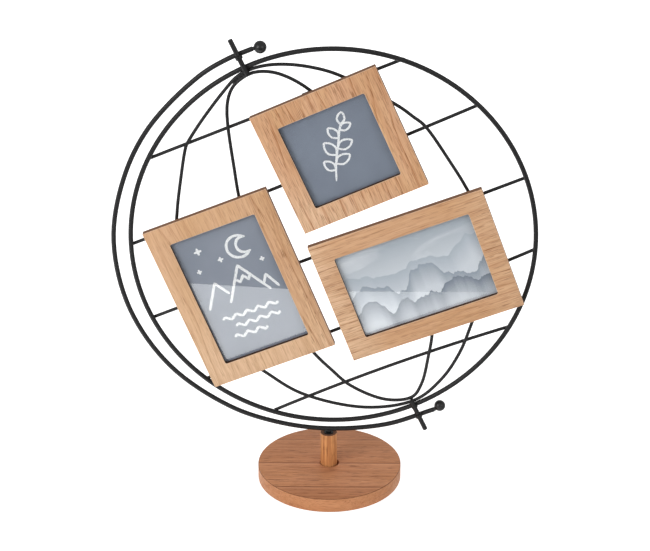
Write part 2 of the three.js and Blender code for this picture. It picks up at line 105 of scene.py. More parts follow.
# Stand
BASE_RADIUS = 74.7
BASE_BOTTOM = 0.3
BASE_TOP = 15.6
SOCKET_RADIUS = 9.8
SOCKET_FLOOR = 8
FELT_RADIUS = 70
FELT_THICKNESS = 1
FELT_CLEARANCE = 0.5
POST_X = -0.8
POST_RADIUS = 8.6
POST_TOP = 52
POST_FOOT = 8.3
STUD_BOTTOM = 40
STUD_RADIUS = 2.5
STUD_TOP = GLOBE_CENTRE.z - ARC_LOWEST - RING_WIRE / 2 - GAP
INSERT_FLANGE_RADIUS = 4.8
INSERT_FLANGE = 0.8

# Weld between the stud and the arc, as radius and drop from the stud's top
STUD_WELD = [(2.6, 0.9), (2.9, 0.3), (3.5, -0.4), (4.1, -1.2), (3.9, -2.2), (2.4, -3)]

# Boards of the base
BOARD_WIDTH = 48.7
BOARD_SEAM_Y = -1.6
BOARD_FIRST_TONE = 0.45
BOARD_TONE_STEP = 0.3
BOARD_GRAIN_SHIFT = (37, 53, 71)

# Photo frames: visible opening, centre from the globe's centre, and turn in degrees
FRAMES = {
    "portrait": ((91, 142.5), (-93.3, -47.3), 21.8),
    "square": ((91, 91), (6.1, 101.7), 23.9),
    "landscape": ((141, 92.5), (83.2, -31.5), 20.5),
}
FRAME_BORDER = 20.6
FRAME_BACK_Y = -6
FRAME_FRONT_Y = -13.5
FRAME_CORNER = 0.4
LIP_BACK_Y = -8.6
OPENING_CORNER = 2
REBATE = 4.5
REBATE_CORNER = 1
WALL_MARGIN = 0.5
GLASS_Y = (-8.4, -7.6)
CARD_Y = (-7.4, -7.15)
BOARD_Y = (-6.95, -6)
SHEET_CORNER = 0.8

# Chalk lines: front and back before the card, how much later lines stand out, and how their edges waver
CHALK_FRONT = 0.05
CHALK_BACK = 0.02
CHALK_STEP = 0.004
CHALK_WAVER = 0.3
CHALK_WAVER_SCALE = 0.6
CHALK_LINE_SEED = 3.3
CHALK_SIDE_SEEDS = (0, 9)
CHALK_TIP = 0.45
CHALK_TAPER = 0.4

# Screws on the frames' backs
SCREW_UNDER_HEAD = -4.4
SCREW_HEAD = 1.6
SCREW_HEAD_RADIUS = 3
SCREW_SHANK = 1.3
SCREW_TIP = -10
SCREW_TIP_RADIUS = 0.2
SCREW_TIP_LENGTH = 2
SCREW_RIM = 0.5
SCREW_FIRST_TURN = 0.4
SCREW_TURN_STEP = 1.1
RECESS_REACH = 1.7
RECESS_WIDTH = 0.55
RECESS_DEPTH = 0.9
SCREW_PLACES = [("button", "left"), ("button", "right"), ("clip", "top"), ("clip", "bottom")]

# Rounding of edges
WOOD_ROUNDING = 0.5
FRAME_ROUNDING = 0.35
STRAP_ROUNDING = 0.35
PIN_ROUNDING = 0.55
FELT_ROUNDING = 0.3
BOARD_ROUNDING = 0.25
SMALL_ROUNDING = 0.2
FINE_STEPS = 3

# How much of a face's normal points along an axis where the face is flat, sloped or upright
FLAT = 0.95
SLOPED = 0.3
UPRIGHT = 0.2

# Facets of the meshes
WIRE_SIDES = 20
PIN_SIDES = 28
SMALL_ROUND = 36
ROUND = 48
WIDE_ROUND = 160
SPLINE_STEPS = 8
RING_STEPS = 180
PARALLEL_STEPS = 28
CORNER_STEPS = 6
BALL_STEPS = 16
SHARP_ANGLE = math.radians(38)
SOFTEN_ANGLE = math.radians(30)

# Photo's viewpoint
CAMERA_AT = Vector((11.7, -1812.74, 1069.81)) * MM
CAMERA_FORWARD = Vector((-0.00818, 0.90764, -0.41968))
CAMERA_LENS = 110.1
SENSOR_WIDTH = 36

# White floor, in metres; the mirror image of its glow fades to the right, a painted reflection
FLOOR_REACH = 4
FLOOR_BACK = 5
FLOOR_DROP = 0.0003
FLOOR_FRONT = [(-FLOOR_REACH, -0.97), (0, -0.47), (FLOOR_REACH, -0.47)]
FLOOR_GLOW = 0.75
REFLECTION_FADE = (0.03, 0.17)

# Light of the surroundings above and below the horizon
SKY_LEVEL = 0.58
GROUND_LEVEL = 0.1
HORIZON = 0.02

# Lamps: place in metres, width, height, brightness of the face, and whether gloss mirrors them
LAMPS = {
    "key_softbox": ((-1.4, -1.5, 1.05), 1, 1, 6.2, True),
    "fill_softbox": ((1.5, -1.6, 0.9), 1.2, 1.2, 1.9, True),
    "table_bounce": ((-0.3, -1.2, -0.3), 1.4, 0.7, 2.4, False),
    "wall_bounce": ((0.5, 2.2, 1), 1.4, 1.2, 2.2, False),
}

# Painted light: a paler veneer tone towards one side of each frame
PAINTED_LIGHT_TONE = (234, 202, 168)

# Hills print, in metres: ridges as height, relief, scale, seed and colour
MIST = (214, 219, 227)
MIST_DEPTH = 0.026
RIDGES = [
    (0.014, 0.016, 22, 3.1, (176, 185, 196)),
    (-0.003, 0.020, 30, 7.7, (150, 160, 173)),
    (-0.022, 0.022, 26, 11.9, (120, 130, 145)),
]
WHITE = (1, 1, 1, 1)


def rgb(red, green, blue):
    """A colour of 0 to 255 parts as the linear values that shaders take."""
    parts = (part / 255 for part in (red, green, blue))
    linear = [part / 12.92 if part <= 0.04045 else ((part + 0.055) / 1.055) ** 2.4 for part in parts]
    return (*linear, 1)


# Places of the moving groups, in metres
GLOBE_PLACE = Matrix.Translation(GLOBE_CENTRE * MM)
GRID_TILT = Matrix.Rotation(-math.radians(AXIS_TILT), 4, "Y")


def frame_place(centre, turn):
    """Where a photo frame's middle sits, with the frame's own turn."""
    shift = Matrix.Translation(Vector((centre[0], 0, centre[1])) * MM)
    return GLOBE_PLACE @ shift @ Matrix.Rotation(-math.radians(turn), 4, "Y")


# Shader building
class Finish:
    """A procedural material with one Principled shader and short calls that add nodes to it."""

    def __init__(self, name, **sockets):
        self.material = bpy.data.materials.new(name)
        self.material.use_nodes = True
        self.tree = self.material.node_tree
        self.shader = self.tree.nodes["Principled BSDF"]
        for socket, value in sockets.items():
            self.shader.inputs[socket.replace("_", " ")].default_value = value

    def node(self, kind, inputs, output=0, **settings):
        made = self.tree.nodes.new("ShaderNode" + kind)
        for setting, value in settings.items():
            setattr(made, setting, value)
        for socket, value in inputs.items():
            self.feed(made.inputs[socket], value)
        return made.outputs[output]

    def feed(self, socket, value):
        if isinstance(value, bpy.types.NodeSocket):
            self.tree.links.new(value, socket)
        else:
            socket.default_value = value

    def coords(self, scale=(1, 1, 1), shift=(0, 0, 0)):
        place = self.node("TexCoord", {}, output="Object")
        return self.node("Mapping", {"Vector": place, "Location": shift, "Scale": scale})

    def noise(self, vector, scale=1, detail=2, distortion=0, roughness=0.5):
        values = {"Vector": vector, "Scale": scale, "Detail": detail, "Roughness": roughness,
                  "Distortion": distortion}
        return self.node("TexNoise", values)

    def math(self, operation, first, second=0):
        return self.node("Math", {0: first, 1: second}, operation=operation)

    def span(self, value, low, high, to_low=0, to_high=1):
        """The value's range from low to high, taken to another range and held there."""
        return self.node("MapRange", {0: value, 1: low, 2: high, 3: to_low, 4: to_high})

    def mix(self, share, first, second):
        return self.node("Mix", {0: share, 6: first, 7: second}, output=2, data_type="RGBA")

    def axes(self, vector):
        split = self.tree.nodes.new("ShaderNodeSeparateXYZ")
        self.feed(split.inputs[0], vector)
        return split.outputs

    def rays(self):
        """What kind of ray meets the surface."""
        return self.tree.nodes.new("ShaderNodeLightPath").outputs

    def colour(self, value):
        self.feed(self.shader.inputs["Base Color"], value)

    def roughness(self, value):
        self.feed(self.shader.inputs["Roughness"], value)

    def bump(self, height, depth, strength=1):
        bump = self.node("Bump", {"Height": height, "Distance": depth * MM, "Strength": strength})
        self.feed(self.shader.inputs["Normal"], bump)

    def surface(self, value):
        self.feed(self.tree.nodes["Material Output"].inputs["Surface"], value)


def stretched(along, across_scale, along_scale):
    """Texture scales that draw a pattern out along one axis."""
    return tuple(along_scale if axis == along else across_scale for axis in "XYZ")


# Where a veneer's figure is strong
def towards_right(finish):
    """Strongest on the right border."""
    return finish.span(finish.axes(finish.coords())[0], 0.03, 0.055, 0.5, 1)


def towards_ends(finish):
    """Strongest on the left and right borders."""
    from_middle = finish.math("ABSOLUTE", finish.axes(finish.coords())[0])
    return finish.span(from_middle, 0.064, 0.074, 0.6, 0.85)


def painted_light_share(finish, right, up, start, end):
    """How much of the painted lighter tone a veneer takes, growing in one direction over a stretch in
    millimetres.
    """
    x, _, z = finish.axes(finish.coords())
    reach = finish.math("ADD", finish.math("MULTIPLY", x, right), finish.math("MULTIPLY", z, up))
    return finish.span(reach, start * MM, end * MM, 0, 0.6)


# Materials
def boards_across(finish, across_place):
    """Boards laid side by side: the place among them, and a tone that differs from board to board."""
    from_seam = finish.math("SUBTRACT", across_place, BOARD_SEAM_Y * MM)
    place = finish.math("DIVIDE", from_seam, BOARD_WIDTH * MM)
    step = finish.math("MULTIPLY", finish.math("FLOOR", place), BOARD_TONE_STEP)
    return place, finish.math("FRACT", finish.math("ADD", step, BOARD_FIRST_TONE))


def seamed(finish, tone, place, across_place, pale, pore):
    """A tone with a pale edge as a painted highlight and a dark seam on each board; the seams are tighter
    at the back.
    """
    # Painted highlight: the pale strip before each seam stands for light caught on the joint's bevel
    highlight_share = finish.span(finish.math("FRACT", place), 0.9, 0.96, 0, 0.5)
    edged = finish.mix(highlight_share, tone, pale)
    seam = finish.span(finish.math("PINGPONG", place, 0.5), 0.008, 0.028, 0.7, 0)
    tighter_behind = finish.span(across_place, 0.02, 0.045, 1, 0.45)
    return finish.mix(finish.math("MULTIPLY", seam, tighter_behind), edged, pore)


def wood(name, palette, grain, seed, spacing=12, lined=0.85, streaky=0.7, wavy=0.2, figure=None,
         painted_light=(), boards=False):
    """Planed wood with growth lines, fibre streaks and pores; grain names the axes along and across it."""
    pale, warm, deep, pore = (rgb(*colour) for colour in palette)
    finish = Finish(name, Specular_IOR_Level=0.3)
    along, across = grain
    across_place = finish.axes(finish.coords())["XYZ".index(across)]
    if boards:
        place, board_tone = boards_across(finish, across_place)
        board_shift = finish.node("VectorMath", {0: board_tone, 1: BOARD_GRAIN_SHIFT}, operation="MULTIPLY")

    def layer(across_scale, along_scale, detail, distortion=0.0, roughness=0.5):
        shift = (seed, seed * 0.7, seed * 1.3)
        vector = finish.coords(stretched(along, across_scale, along_scale), shift)
        if boards:
            vector = finish.node("VectorMath", {0: vector, 1: board_shift}, operation="ADD")
        return finish.noise(vector, 1, detail, distortion, roughness)

    def weighted(value, share):
        value = finish.math("MULTIPLY", value, share)
        return finish.math("MULTIPLY", value, figure(finish)) if figure else value

    bend = finish.math("MULTIPLY", layer(14, 4, detail=2), 6)
    rings = finish.math("DIVIDE", across_place, spacing * MM)
    growth = finish.math("FRACT", finish.math("ADD", rings, bend))
    unbroken = finish.span(layer(60, 16, detail=2), 0.36, 0.56)
    lines = finish.math("MULTIPLY", finish.span(growth, 0.8, 0.97), unbroken)
    streaks = finish.span(layer(330, 13, detail=7, distortion=wavy, roughness=0.62), 0.40, 0.68)
    fibres = finish.span(layer(1100, 45, detail=3), 0.42, 0.66)
    open_grain = finish.span(growth, 0.25, 0.9, 0.45, 1)
    pores = finish.math("MULTIPLY", finish.span(layer(1300, 80, detail=1), 0.57, 0.64), open_grain)
    tone = finish.mix(finish.span(layer(40, 10, detail=3), 0.36, 0.64), pale, warm)
    if boards:
        tone = finish.mix(finish.math("MULTIPLY", board_tone, 0.6), tone, deep)
    # Painted light: each stretch makes the veneer paler towards one side
    for stretch in painted_light:
        tone = finish.mix(painted_light_share(finish, *stretch), tone, rgb(*PAINTED_LIGHT_TONE))
    for figured, share, darker in ((lines, lined, deep), (streaks, streaky, deep), (fibres, 0.35, deep),
                                   (pores, 0.75, pore)):
        tone = finish.mix(weighted(figured, share), tone, darker)
    if boards:
        tone = seamed(finish, tone, place, across_place, pale, pore)
    finish.colour(tone)
    finish.roughness(finish.span(streaks, 0, 1, 0.5, 0.64))
    relief = finish.math("SUBTRACT", finish.math("MULTIPLY", fibres, 0.4), pores)
    finish.bump(relief, depth=0.06, strength=0.6)
    return finish.material


def fibre(name, pale, deep, scale, roughness, depth=0.05):
    """Pressed fibre, stained board edges, felt, and edges painted with shade or highlight: close mottling
    at two scales.
    """
    finish = Finish(name, Specular_IOR_Level=0.2, Roughness=roughness)
    coarse = finish.noise(finish.coords(), scale, detail=3)
    fine = finish.noise(finish.coords(), scale * 7, distortion=1)
    share = finish.span(finish.math("ADD", coarse, fine), 0.75, 1.25)
    finish.colour(finish.mix(share, pale, deep))
    finish.bump(fine, depth, strength=0.5)
    return finish.material


def black_paint(name, roughness, specular):
    """Satin black powder coat with a faint orange peel."""
    finish = Finish(name, Specular_IOR_Level=specular)
    peel = finish.noise(finish.coords(), scale=900)
    cloud = finish.noise(finish.coords(), scale=60)
    finish.colour(finish.mix(cloud, rgb(24, 24, 25), rgb(34, 34, 35)))
    finish.roughness(finish.span(peel, 0.3, 0.7, roughness - 0.05, roughness + 0.07))
    finish.bump(peel, depth=0.05, strength=0.4)
    return finish.material


def metal(name, colour, worn, roughness):
    """Plated steel with cloudy wear and fine scratches."""
    finish = Finish(name, Metallic=1)
    cloud = finish.noise(finish.coords(), scale=350, detail=4)
    scratch = finish.noise(finish.coords(scale=(3000, 200, 500)))
    finish.colour(finish.mix(finish.span(cloud, 0.35, 0.7), colour, worn))
    finish.roughness(finish.span(scratch, 0.3, 0.7, roughness - 0.08, roughness + 0.12))
    finish.bump(scratch, depth=0.01, strength=0.4)
    return finish.material


def moulded_nylon():
    """Dark moulded plastic with a fine spark-eroded grain."""
    finish = Finish("moulded_nylon", Specular_IOR_Level=0.35)
    grain = finish.noise(finish.coords(), scale=1600)
    finish.colour(finish.mix(grain, rgb(30, 30, 32), rgb(44, 44, 46)))
    finish.roughness(finish.span(grain, 0.3, 0.7, 0.5, 0.65))
    finish.bump(grain, depth=0.04, strength=0.5)
    return finish.material


def slate_card(name, colour, cloudy):
    """A matt grey print with faint cloudy rubbing, under a thin gloss."""
    finish = Finish(name, Roughness=0.6, Coat_Weight=0.6, Coat_Roughness=0.06)
    cloud = finish.noise(finish.coords(), scale=28, detail=4)
    speck = finish.noise(finish.coords(), scale=1200)
    tone = finish.mix(finish.span(cloud, 0.35, 0.68), colour, cloudy)
    finish.colour(finish.mix(finish.span(speck, 0.62, 0.8, 0, 0.25), tone, rgb(190, 196, 206)))
    return finish.material


def chalk():
    """Chalk lines that break up where the stick skipped."""
    finish = Finish("chalk_line", Roughness=0.85, Specular_IOR_Level=0.2)
    skip = finish.span(finish.noise(finish.coords(), scale=1100, detail=3), 0.56, 0.68, 0, 0.75)
    finish.colour(finish.mix(skip, rgb(240, 241, 243), rgb(150, 157, 170)))
    return finish.material


def misty_hills():
    """A pale grey print of hills in mist, one ridge in front of the other."""
    finish = Finish("misty_hills_print", Roughness=0.6, Coat_Weight=0.6, Coat_Roughness=0.06)
    across, _, up = finish.axes(finish.coords())
    cloud = finish.noise(finish.coords(scale=(14, 14, 45)), detail=4, distortion=0.6)
    sky = finish.mix(finish.span(up, -0.01, 0.05), rgb(226, 230, 236), rgb(158, 168, 180))
    tone = finish.mix(finish.span(cloud, 0.5, 0.72, 0, 0.7), sky, rgb(236, 238, 243))
    for height, relief, scale, seed, slope in RIDGES:
        along = finish.node("CombineXYZ", {0: finish.math("MULTIPLY", across, scale), 1: seed, 2: 0})
        from_mean = finish.math("SUBTRACT", finish.noise(along, detail=5), 0.5)
        rise = finish.math("MULTIPLY", from_mean, relief * 4)
        below = finish.math("SUBTRACT", finish.math("ADD", rise, height), up)
        hill = finish.mix(finish.span(below, 0, MIST_DEPTH), rgb(*slope), rgb(*MIST))
        tone = finish.mix(finish.span(below, -0.0002, 0.0004), tone, hill)
    finish.colour(tone)
    return finish.material


def clear_glass():
    """Thin picture glass that lets the light of the lamps through to the card."""
    finish = Finish("picture_glass", Base_Color=rgb(252, 254, 253), Roughness=0, IOR=1.68,
                    Transmission_Weight=1)
    rays = finish.rays()
    through = finish.math("MAXIMUM", rays["Is Shadow Ray"], rays["Is Diffuse Ray"])
    open_way = finish.node("BsdfTransparent", {0: WHITE})
    finish.surface(finish.node("MixShader", {0: through, 1: finish.shader.outputs[0], 2: open_way}))
    return finish.material


WIRE_PAINT = black_paint("wire_paint", 0.42, 0.3)
BALL_PAINT = black_paint("ball_paint", 0.3, 0.4)
STEEL_PAINT = black_paint("button_paint", 0.4, 0.4)
ZINC = metal("zinc_plate", rgb(196, 198, 200), rgb(150, 152, 154), 0.32)
VENEERS = {
    "portrait": wood("portrait_veneer", ((214, 173, 136), (208, 166, 124), (172, 122, 84), (132, 86, 52)),
                     "ZX", 3.7, spacing=9, wavy=0.9, figure=towards_right, painted_light=[(-0.5, -1, -40, 100)]),
    "square": wood("square_veneer", ((215, 171, 135), (208, 163, 120), (172, 114, 74), (132, 84, 50)),
                   "ZX", 8.3, spacing=11, streaky=0.35, painted_light=[(-0.6, -1, 35, 78)]),
    "landscape": wood("landscape_veneer", ((212, 169, 132), (205, 160, 119), (172, 120, 80), (132, 82, 48)),
                      "XZ", 5.9, spacing=7, streaky=0.6, figure=towards_ends,
                      painted_light=[(-1, -0.15, 56, 82), (1, 0, 52, 112)]),
}
EDGE = fibre("stained_edge", rgb(146, 106, 80), rgb(118, 84, 61), 260, 0.7)
# Painted shade: the opening's walls are stained like the outer edges and darkened further to stand in for
# the shade in the opening's recess
SHADED_WALL = fibre("opening_wall_stain_and_shade", rgb(84, 60, 45), rgb(64, 44, 33), 260, 0.7)
# Painted highlight: the pale front bevels stand in for light caught on the chamfers
EDGE_HIGHLIGHT = fibre("painted_edge_highlight", rgb(232, 200, 172), rgb(212, 172, 138), 300, 0.55)
BASE_WOOD = wood("base_wood", ((218, 154, 112), (210, 146, 101), (168, 107, 71), (112, 65, 40)), "XY", 2.1,
                 spacing=11, lined=0.3, streaky=0.5, wavy=0.1, boards=True)
BASE_SIDE = wood("base_side", ((206, 145, 101), (200, 138, 92), (184, 121, 80), (158, 98, 63)), "XZ", 4.6)
BASE_RIM = fibre("base_rim", rgb(112, 72, 50), rgb(88, 56, 38), 300, 0.6)
POST_WOOD = wood("post_wood", ((236, 172, 110), (222, 156, 98), (168, 104, 62), (128, 74, 42)), "ZX", 6.4,
                 spacing=4)
# Darker end grain, darkened further as painted shade under the arc and stud
POST_END_GRAIN_AND_SHADE = fibre("post_end_grain_and_shade", rgb(128, 92, 72), rgb(98, 68, 52), 700, 0.8)
HARDBOARD = fibre("hardboard", rgb(150, 116, 84), rgb(118, 88, 62), 420, 0.75)
FELT = fibre("felt", rgb(66, 63, 60), rgb(44, 42, 40), 800, 1, depth=0.25)
NYLON = moulded_nylon()
GLASS = clear_glass()
CHALK = chalk()
CARDS = {
    "portrait": slate_card("portrait_print", rgb(139, 145, 159), rgb(131, 138, 152)),
    "square": slate_card("square_print", rgb(124, 133, 149), rgb(116, 124, 140)),
    "landscape": misty_hills(),
}


# Mesh building, in millimetres
def polar(distance, angle):
    """A flat point from its distance and its angle in radians."""
    return Vector((distance * math.cos(angle), distance * math.sin(angle)))


def spline(points, closed=False):
    """Points along a centripetal Catmull-Rom curve."""
    knots = [Vector(point) for point in points]
    if closed:
        knots = [knots[-1], *knots, *knots[:2]]
    else:
        knots = [2 * knots[0] - knots[1], *knots, 2 * knots[-1] - knots[-2]]
    path = []
    for before, start, end, after in zip(knots, knots[1:], knots[2:], knots[3:]):
        sides = ((before, start), (start, end), (end, after))
        first, middle, last = ((b - a).length ** 0.5 for a, b in sides)
        leave = (start - before) / first - (end - before) / (first + middle) + (end - start) / middle
        arrive = (end - start) / middle - (after - start) / (middle + last) + (after - end) / last
        leave *= middle
        arrive *= middle
        for step in range(SPLINE_STEPS):
            s = step / SPLINE_STEPS
            bend = 3 * (end - start) - 2 * leave - arrive
            twist = 2 * (start - end) + leave + arrive
            path.append(start + leave * s + bend * s ** 2 + twist * s ** 3)
    return path if closed else [*path, knots[-2]]


def headings(path, closed=False):
    """The direction of a flat path at each of its points."""
    count = len(path)
    found = []
    for index in range(count):
        before = path[index - 1] if closed or index else path[0]
        after = path[(index + 1) % count] if closed or index + 1 < count else path[-1]
        found.append((after - before).normalized())
    return found


def bridged(rings, closed=False):
    """A solid with faces between one ring of points and the next, and end caps on an open row."""
    shell = bmesh.new()
    loops = [[shell.verts.new(point) for point in ring] for ring in rings]
    pairs = list(zip(loops, loops[1:]))
    if closed:
        pairs.append((loops[-1], loops[0]))
    else:
        shell.faces.new(loops[0])
        shell.faces.new(loops[-1])
    for near, far in pairs:
        for index in range(len(near)):
            shell.faces.new((near[index - 1], near[index], far[index], far[index - 1]))
    return shell


def wire(path, depth, diameter, closed=False):
    """A round wire along a flat path of across and along points, with blunt ends."""
    radius = diameter / 2
    dome = WIRE_END_DOME * radius
    stations = [(point, way, radius) for point, way in zip(path, headings(path, closed))]
    if not closed:
        turns = [math.radians(angle) for angle in WIRE_END_TURNS]
        ends = []
        for (point, way, _), sign in ((stations[0], -1), (stations[-1], 1)):
            ends.append([(point + way * sign * dome * math.sin(turn), way, radius * math.cos(turn))
                         for turn in turns])
        stations = [*reversed(ends[0]), *stations, *ends[1]]
    angles = [2 * math.pi * side / WIRE_SIDES for side in range(WIRE_SIDES)]
    rings = []
    for point, way, reach in stations:
        side = Vector((-way.y, way.x))
        rings.append([(point.x + side.x * reach * math.cos(angle), depth + reach * math.sin(angle),
                       point.y + side.y * reach * math.cos(angle)) for angle in angles])
    return bridged(rings, closed)


def turned(profile, sides=ROUND, closed=False):
    """A turned solid about Z, from a profile of radius and height; a closed profile makes a ring."""
    angles = [2 * math.pi * side / sides for side in range(sides)]
    return bridged([[(radius * math.cos(angle), radius * math.sin(angle), height) for angle in angles]
                    for radius, height in profile], closed)


def plate(outline, front, back):
    """A flat solid between two depths, from an outline of x and z."""
    return bridged([[(x, y, z) for x, z in outline] for y in (front, back)])


def rectangle(width, height, corner):
    """The outline of a rectangle with round corners."""
    points = []
    for quarter, (right, up) in enumerate(((1, 1), (-1, 1), (-1, -1), (1, -1))):
        for step in range(CORNER_STEPS + 1):
            angle = math.pi / 2 * (quarter + step / CORNER_STEPS)
            points.append((right * (width / 2 - corner) + corner * math.cos(angle),
                           up * (height / 2 - corner) + corner * math.sin(angle)))
    return points


def soften(shell, width, segments=2):
    """Rounds the sharp edges of a solid."""
    bmesh.ops.recalc_face_normals(shell, faces=shell.faces)
    edges = [edge for edge in shell.edges if edge.is_manifold and edge.calc_face_angle() > SOFTEN_ANGLE]
    bmesh.ops.bevel(shell, geom=edges, offset=width, segments=segments, profile=0.5, affect="EDGES",
                    clamp_overlap=True)
    return shell


def softened_copy(node, width):
    """The CAD solid of a node with its edges rounded."""
    shell = bmesh.new()
    shell.from_mesh(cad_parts[node].data)
    bmesh.ops.scale(shell, vec=(1 / MM,) * 3, verts=shell.verts)
    bmesh.ops.remove_doubles(shell, verts=shell.verts, dist=MM)
    bmesh.ops.dissolve_limit(shell, angle_limit=math.radians(1), verts=shell.verts, edges=shell.edges)
    return soften(shell, width)


def added(shell, other):
    """The first solid with the second one's faces put in beside it."""
    mesh = bpy.data.meshes.new("joined")
    other.to_mesh(mesh)
    other.free()
    shell.from_mesh(mesh)
    bpy.data.meshes.remove(mesh)
    return shell


def moved(shell, matrix):
    """The solid put to another place."""
    bmesh.ops.transform(shell, matrix=matrix, verts=shell.verts)
    return shell


def faced(shell, choose):
    """The solid with each face's finish chosen from its middle and its normal."""
    bmesh.ops.recalc_face_normals(shell, faces=shell.faces)
    for face in shell.faces:
        face.material_index = choose(face.calc_center_median(), face.normal)
    return shell


def add_object(name, data):
    """An object in the scene."""
    made = bpy.data.objects.new(name, data)
    bpy.context.scene.collection.objects.link(made)
    return made


def add_piece(name, shell, finishes, body, place=Matrix.Identity(4), stands_for=()):
    """A piece of the object from a solid in millimetres, on the body that carries it."""
    bmesh.ops.scale(shell, vec=(MM,) * 3, verts=shell.verts)
    bmesh.ops.recalc_face_normals(shell, faces=shell.faces)
    mesh = bpy.data.meshes.new(name)
    shell.to_mesh(mesh)
    shell.free()
    mesh.shade_smooth()
    mesh.set_sharp_from_angle(angle=SHARP_ANGLE)
    for finish in finishes:
        mesh.materials.append(finish)
    piece = add_object(name, mesh)
    piece.matrix_world = place
    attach(piece, body)
    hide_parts(*stands_for)
    return piece


def dress(node, shell, finishes, body, place=Matrix.Identity(4)):
    """A piece that stands for one CAD node."""
    return add_piece(f"{node}_look", shell, finishes, body, place, (node,))


# Wire paths across and along the tilted axis
def parallel_path(line):
    """A parallel from ring to ring, with its slope and bow."""
    height, slope, bow = line
    rise = math.tan(math.radians(slope))
    middle = -height * rise / (1 + rise ** 2)
    half = math.sqrt(GLOBE_RADIUS ** 2 * (1 + rise ** 2) - height ** 2) / (1 + rise ** 2)
    path = []
    for step in range(PARALLEL_STEPS + 1):
        share = step / PARALLEL_STEPS
        across = middle - half + 2 * half * share
        path.append(Vector((across, height + rise * across + 4 * bow * share * (1 - share))))
    return path


def crossings(first, second):
    """Where two flat paths cross."""
    found = []
    for a, b in zip(first, first[1:]):
        for c, d in zip(second, second[1:]):
            span = (b - a).cross(d - c)
            if span == 0:
                continue
            at_first = (c - a).cross(d - c) / span
            at_second = (c - a).cross(b - a) / span
            if 0 <= at_first < 1 and 0 <= at_second < 1:
                found.append(a + (b - a) * at_first)
    return found


OUTER_PATH = spline(OUTER_MERIDIAN, closed=True)
INNER_PATH = spline(INNER_MERIDIAN)
PARALLEL_PATHS = [parallel_path(line) for line in PARALLELS]
ARC_PATH = spline([polar(distance, math.radians(angle)) for angle, distance in ARC_BEND])
RING_PATH = [polar(GLOBE_RADIUS, 2 * math.pi * step / RING_STEPS) for step in range(RING_STEPS)]

# Weld beads, as reach across, in depth and along the axis
BEAD_LUMPS = 1.4
BEAD_UNEVENNESS = 0.16
RING_BEAD = (2.05, 2, 2.05)
RING_BEAD_Y = PARALLEL_Y / 2 + 0.2
CROSSING_BEAD = (1.9, 1.7, 1.9)
CROSSING_BEAD_Y = (MERIDIAN_Y + PARALLEL_Y) / 2
SEAM_BEAD = (2.4, 1.4, 1.3)
BEHIND_PIN_Y = PIN_Y / 2 + 0.2
ON_PIN_Y = PIN_Y / 2 - 0.3

# Welds at the poles, as across, along, depth and reach
MERIDIAN_SEAM = [(-5, 195.2), (-9, 194.6), (-12.5, 193.7), (-16, 192.3)]
POLE_WELDS = [
    (0, 199.4, MERIDIAN_Y, (1.8, 1.6, 1.5)), (0, 195.6, MERIDIAN_Y, (2.2, 1.5, 1.4)),
    (0, 201.6, ON_PIN_Y, (2.9, 2.1, 3)), (0, 196.2, BEHIND_PIN_Y, (2.8, 2.1, 2.4)),
    *((across, along, MERIDIAN_Y, SEAM_BEAD) for across, along in MERIDIAN_SEAM),
    (0, -199.4, MERIDIAN_Y, (1.6, 1.6, 1.5)), (0, -195.6, MERIDIAN_Y, (1.6, 1.5, 1.4)),
    (0, -203, ON_PIN_Y, (3.2, 2.1, 3)), (0, -196.2, BEHIND_PIN_Y, (2, 2.1, 2.2)),
]


# Wire globe
def bead(point, depth, reach):
    """A small uneven weld bead."""
    shell = bmesh.new()
    bmesh.ops.create_icosphere(shell, subdivisions=3, radius=1)
    middle = Vector((point.x, depth, point.y))
    for vertex in shell.verts:
        uneven = 1 + BEAD_UNEVENNESS * noise.noise(vertex.co * BEAD_LUMPS + middle)
        vertex.co = middle + Vector(a * b for a, b in zip(vertex.co, reach)) * uneven
    return shell


def globe_welds():
    """Beads where the wires cross, along the joined meridians and on the pins."""
    shell = bmesh.new()
    for path in PARALLEL_PATHS:
        for point in (path[0], path[-1]):
            added(shell, bead(point, RING_BEAD_Y, RING_BEAD))
        for point in (*crossings(path, [*OUTER_PATH, OUTER_PATH[0]]), *crossings(path, INNER_PATH)):
            added(shell, bead(point, CROSSING_BEAD_Y, CROSSING_BEAD))
    for across, along, depth, reach in POLE_WELDS:
        added(shell, bead(Vector((across + PIN_ACROSS, along)), depth, reach))
    add_piece("globe_weld_beads", moved(shell, GRID_TILT), [WIRE_PAINT], "globe", GLOBE_PLACE)


def axis_pin(outer_end):
    """A pin along the axis with rounded ends."""
    radius = PIN_DIAMETER / 2
    pin = turned([(radius, PIN_INNER_END), (radius, outer_end)], PIN_SIDES)
    return soften(pin, PIN_ROUNDING, FINE_STEPS)


def build_globe():
    """Ring, meridians, parallels, pins and welds."""
    wires = [("globe_ring", wire(RING_PATH, 0, RING_WIRE, True)),
             ("meridian_wire_outer", wire(OUTER_PATH, MERIDIAN_Y, THIN_WIRE, True)),
             ("meridian_wire_inner", wire(INNER_PATH, MERIDIAN_Y, THIN_WIRE))]
    for index, path in enumerate(PARALLEL_PATHS, start=1):
        wires.append((f"parallel_wire_{index}", wire(path, PARALLEL_Y, THIN_WIRE)))
    half_turn = Matrix.Rotation(math.pi, 4, "X")
    forward = Matrix.Translation((PIN_ACROSS, PIN_Y, 0))
    wires.append(("axis_pin_top", moved(axis_pin(PIN_OUTER_END["top"]), forward)))
    wires.append(("axis_pin_bottom", moved(axis_pin(PIN_OUTER_END["bottom"]), forward @ half_turn)))
    for node, shell in wires:
        dress(node, moved(shell, GRID_TILT), [WIRE_PAINT], "globe", GLOBE_PLACE)
    globe_welds()


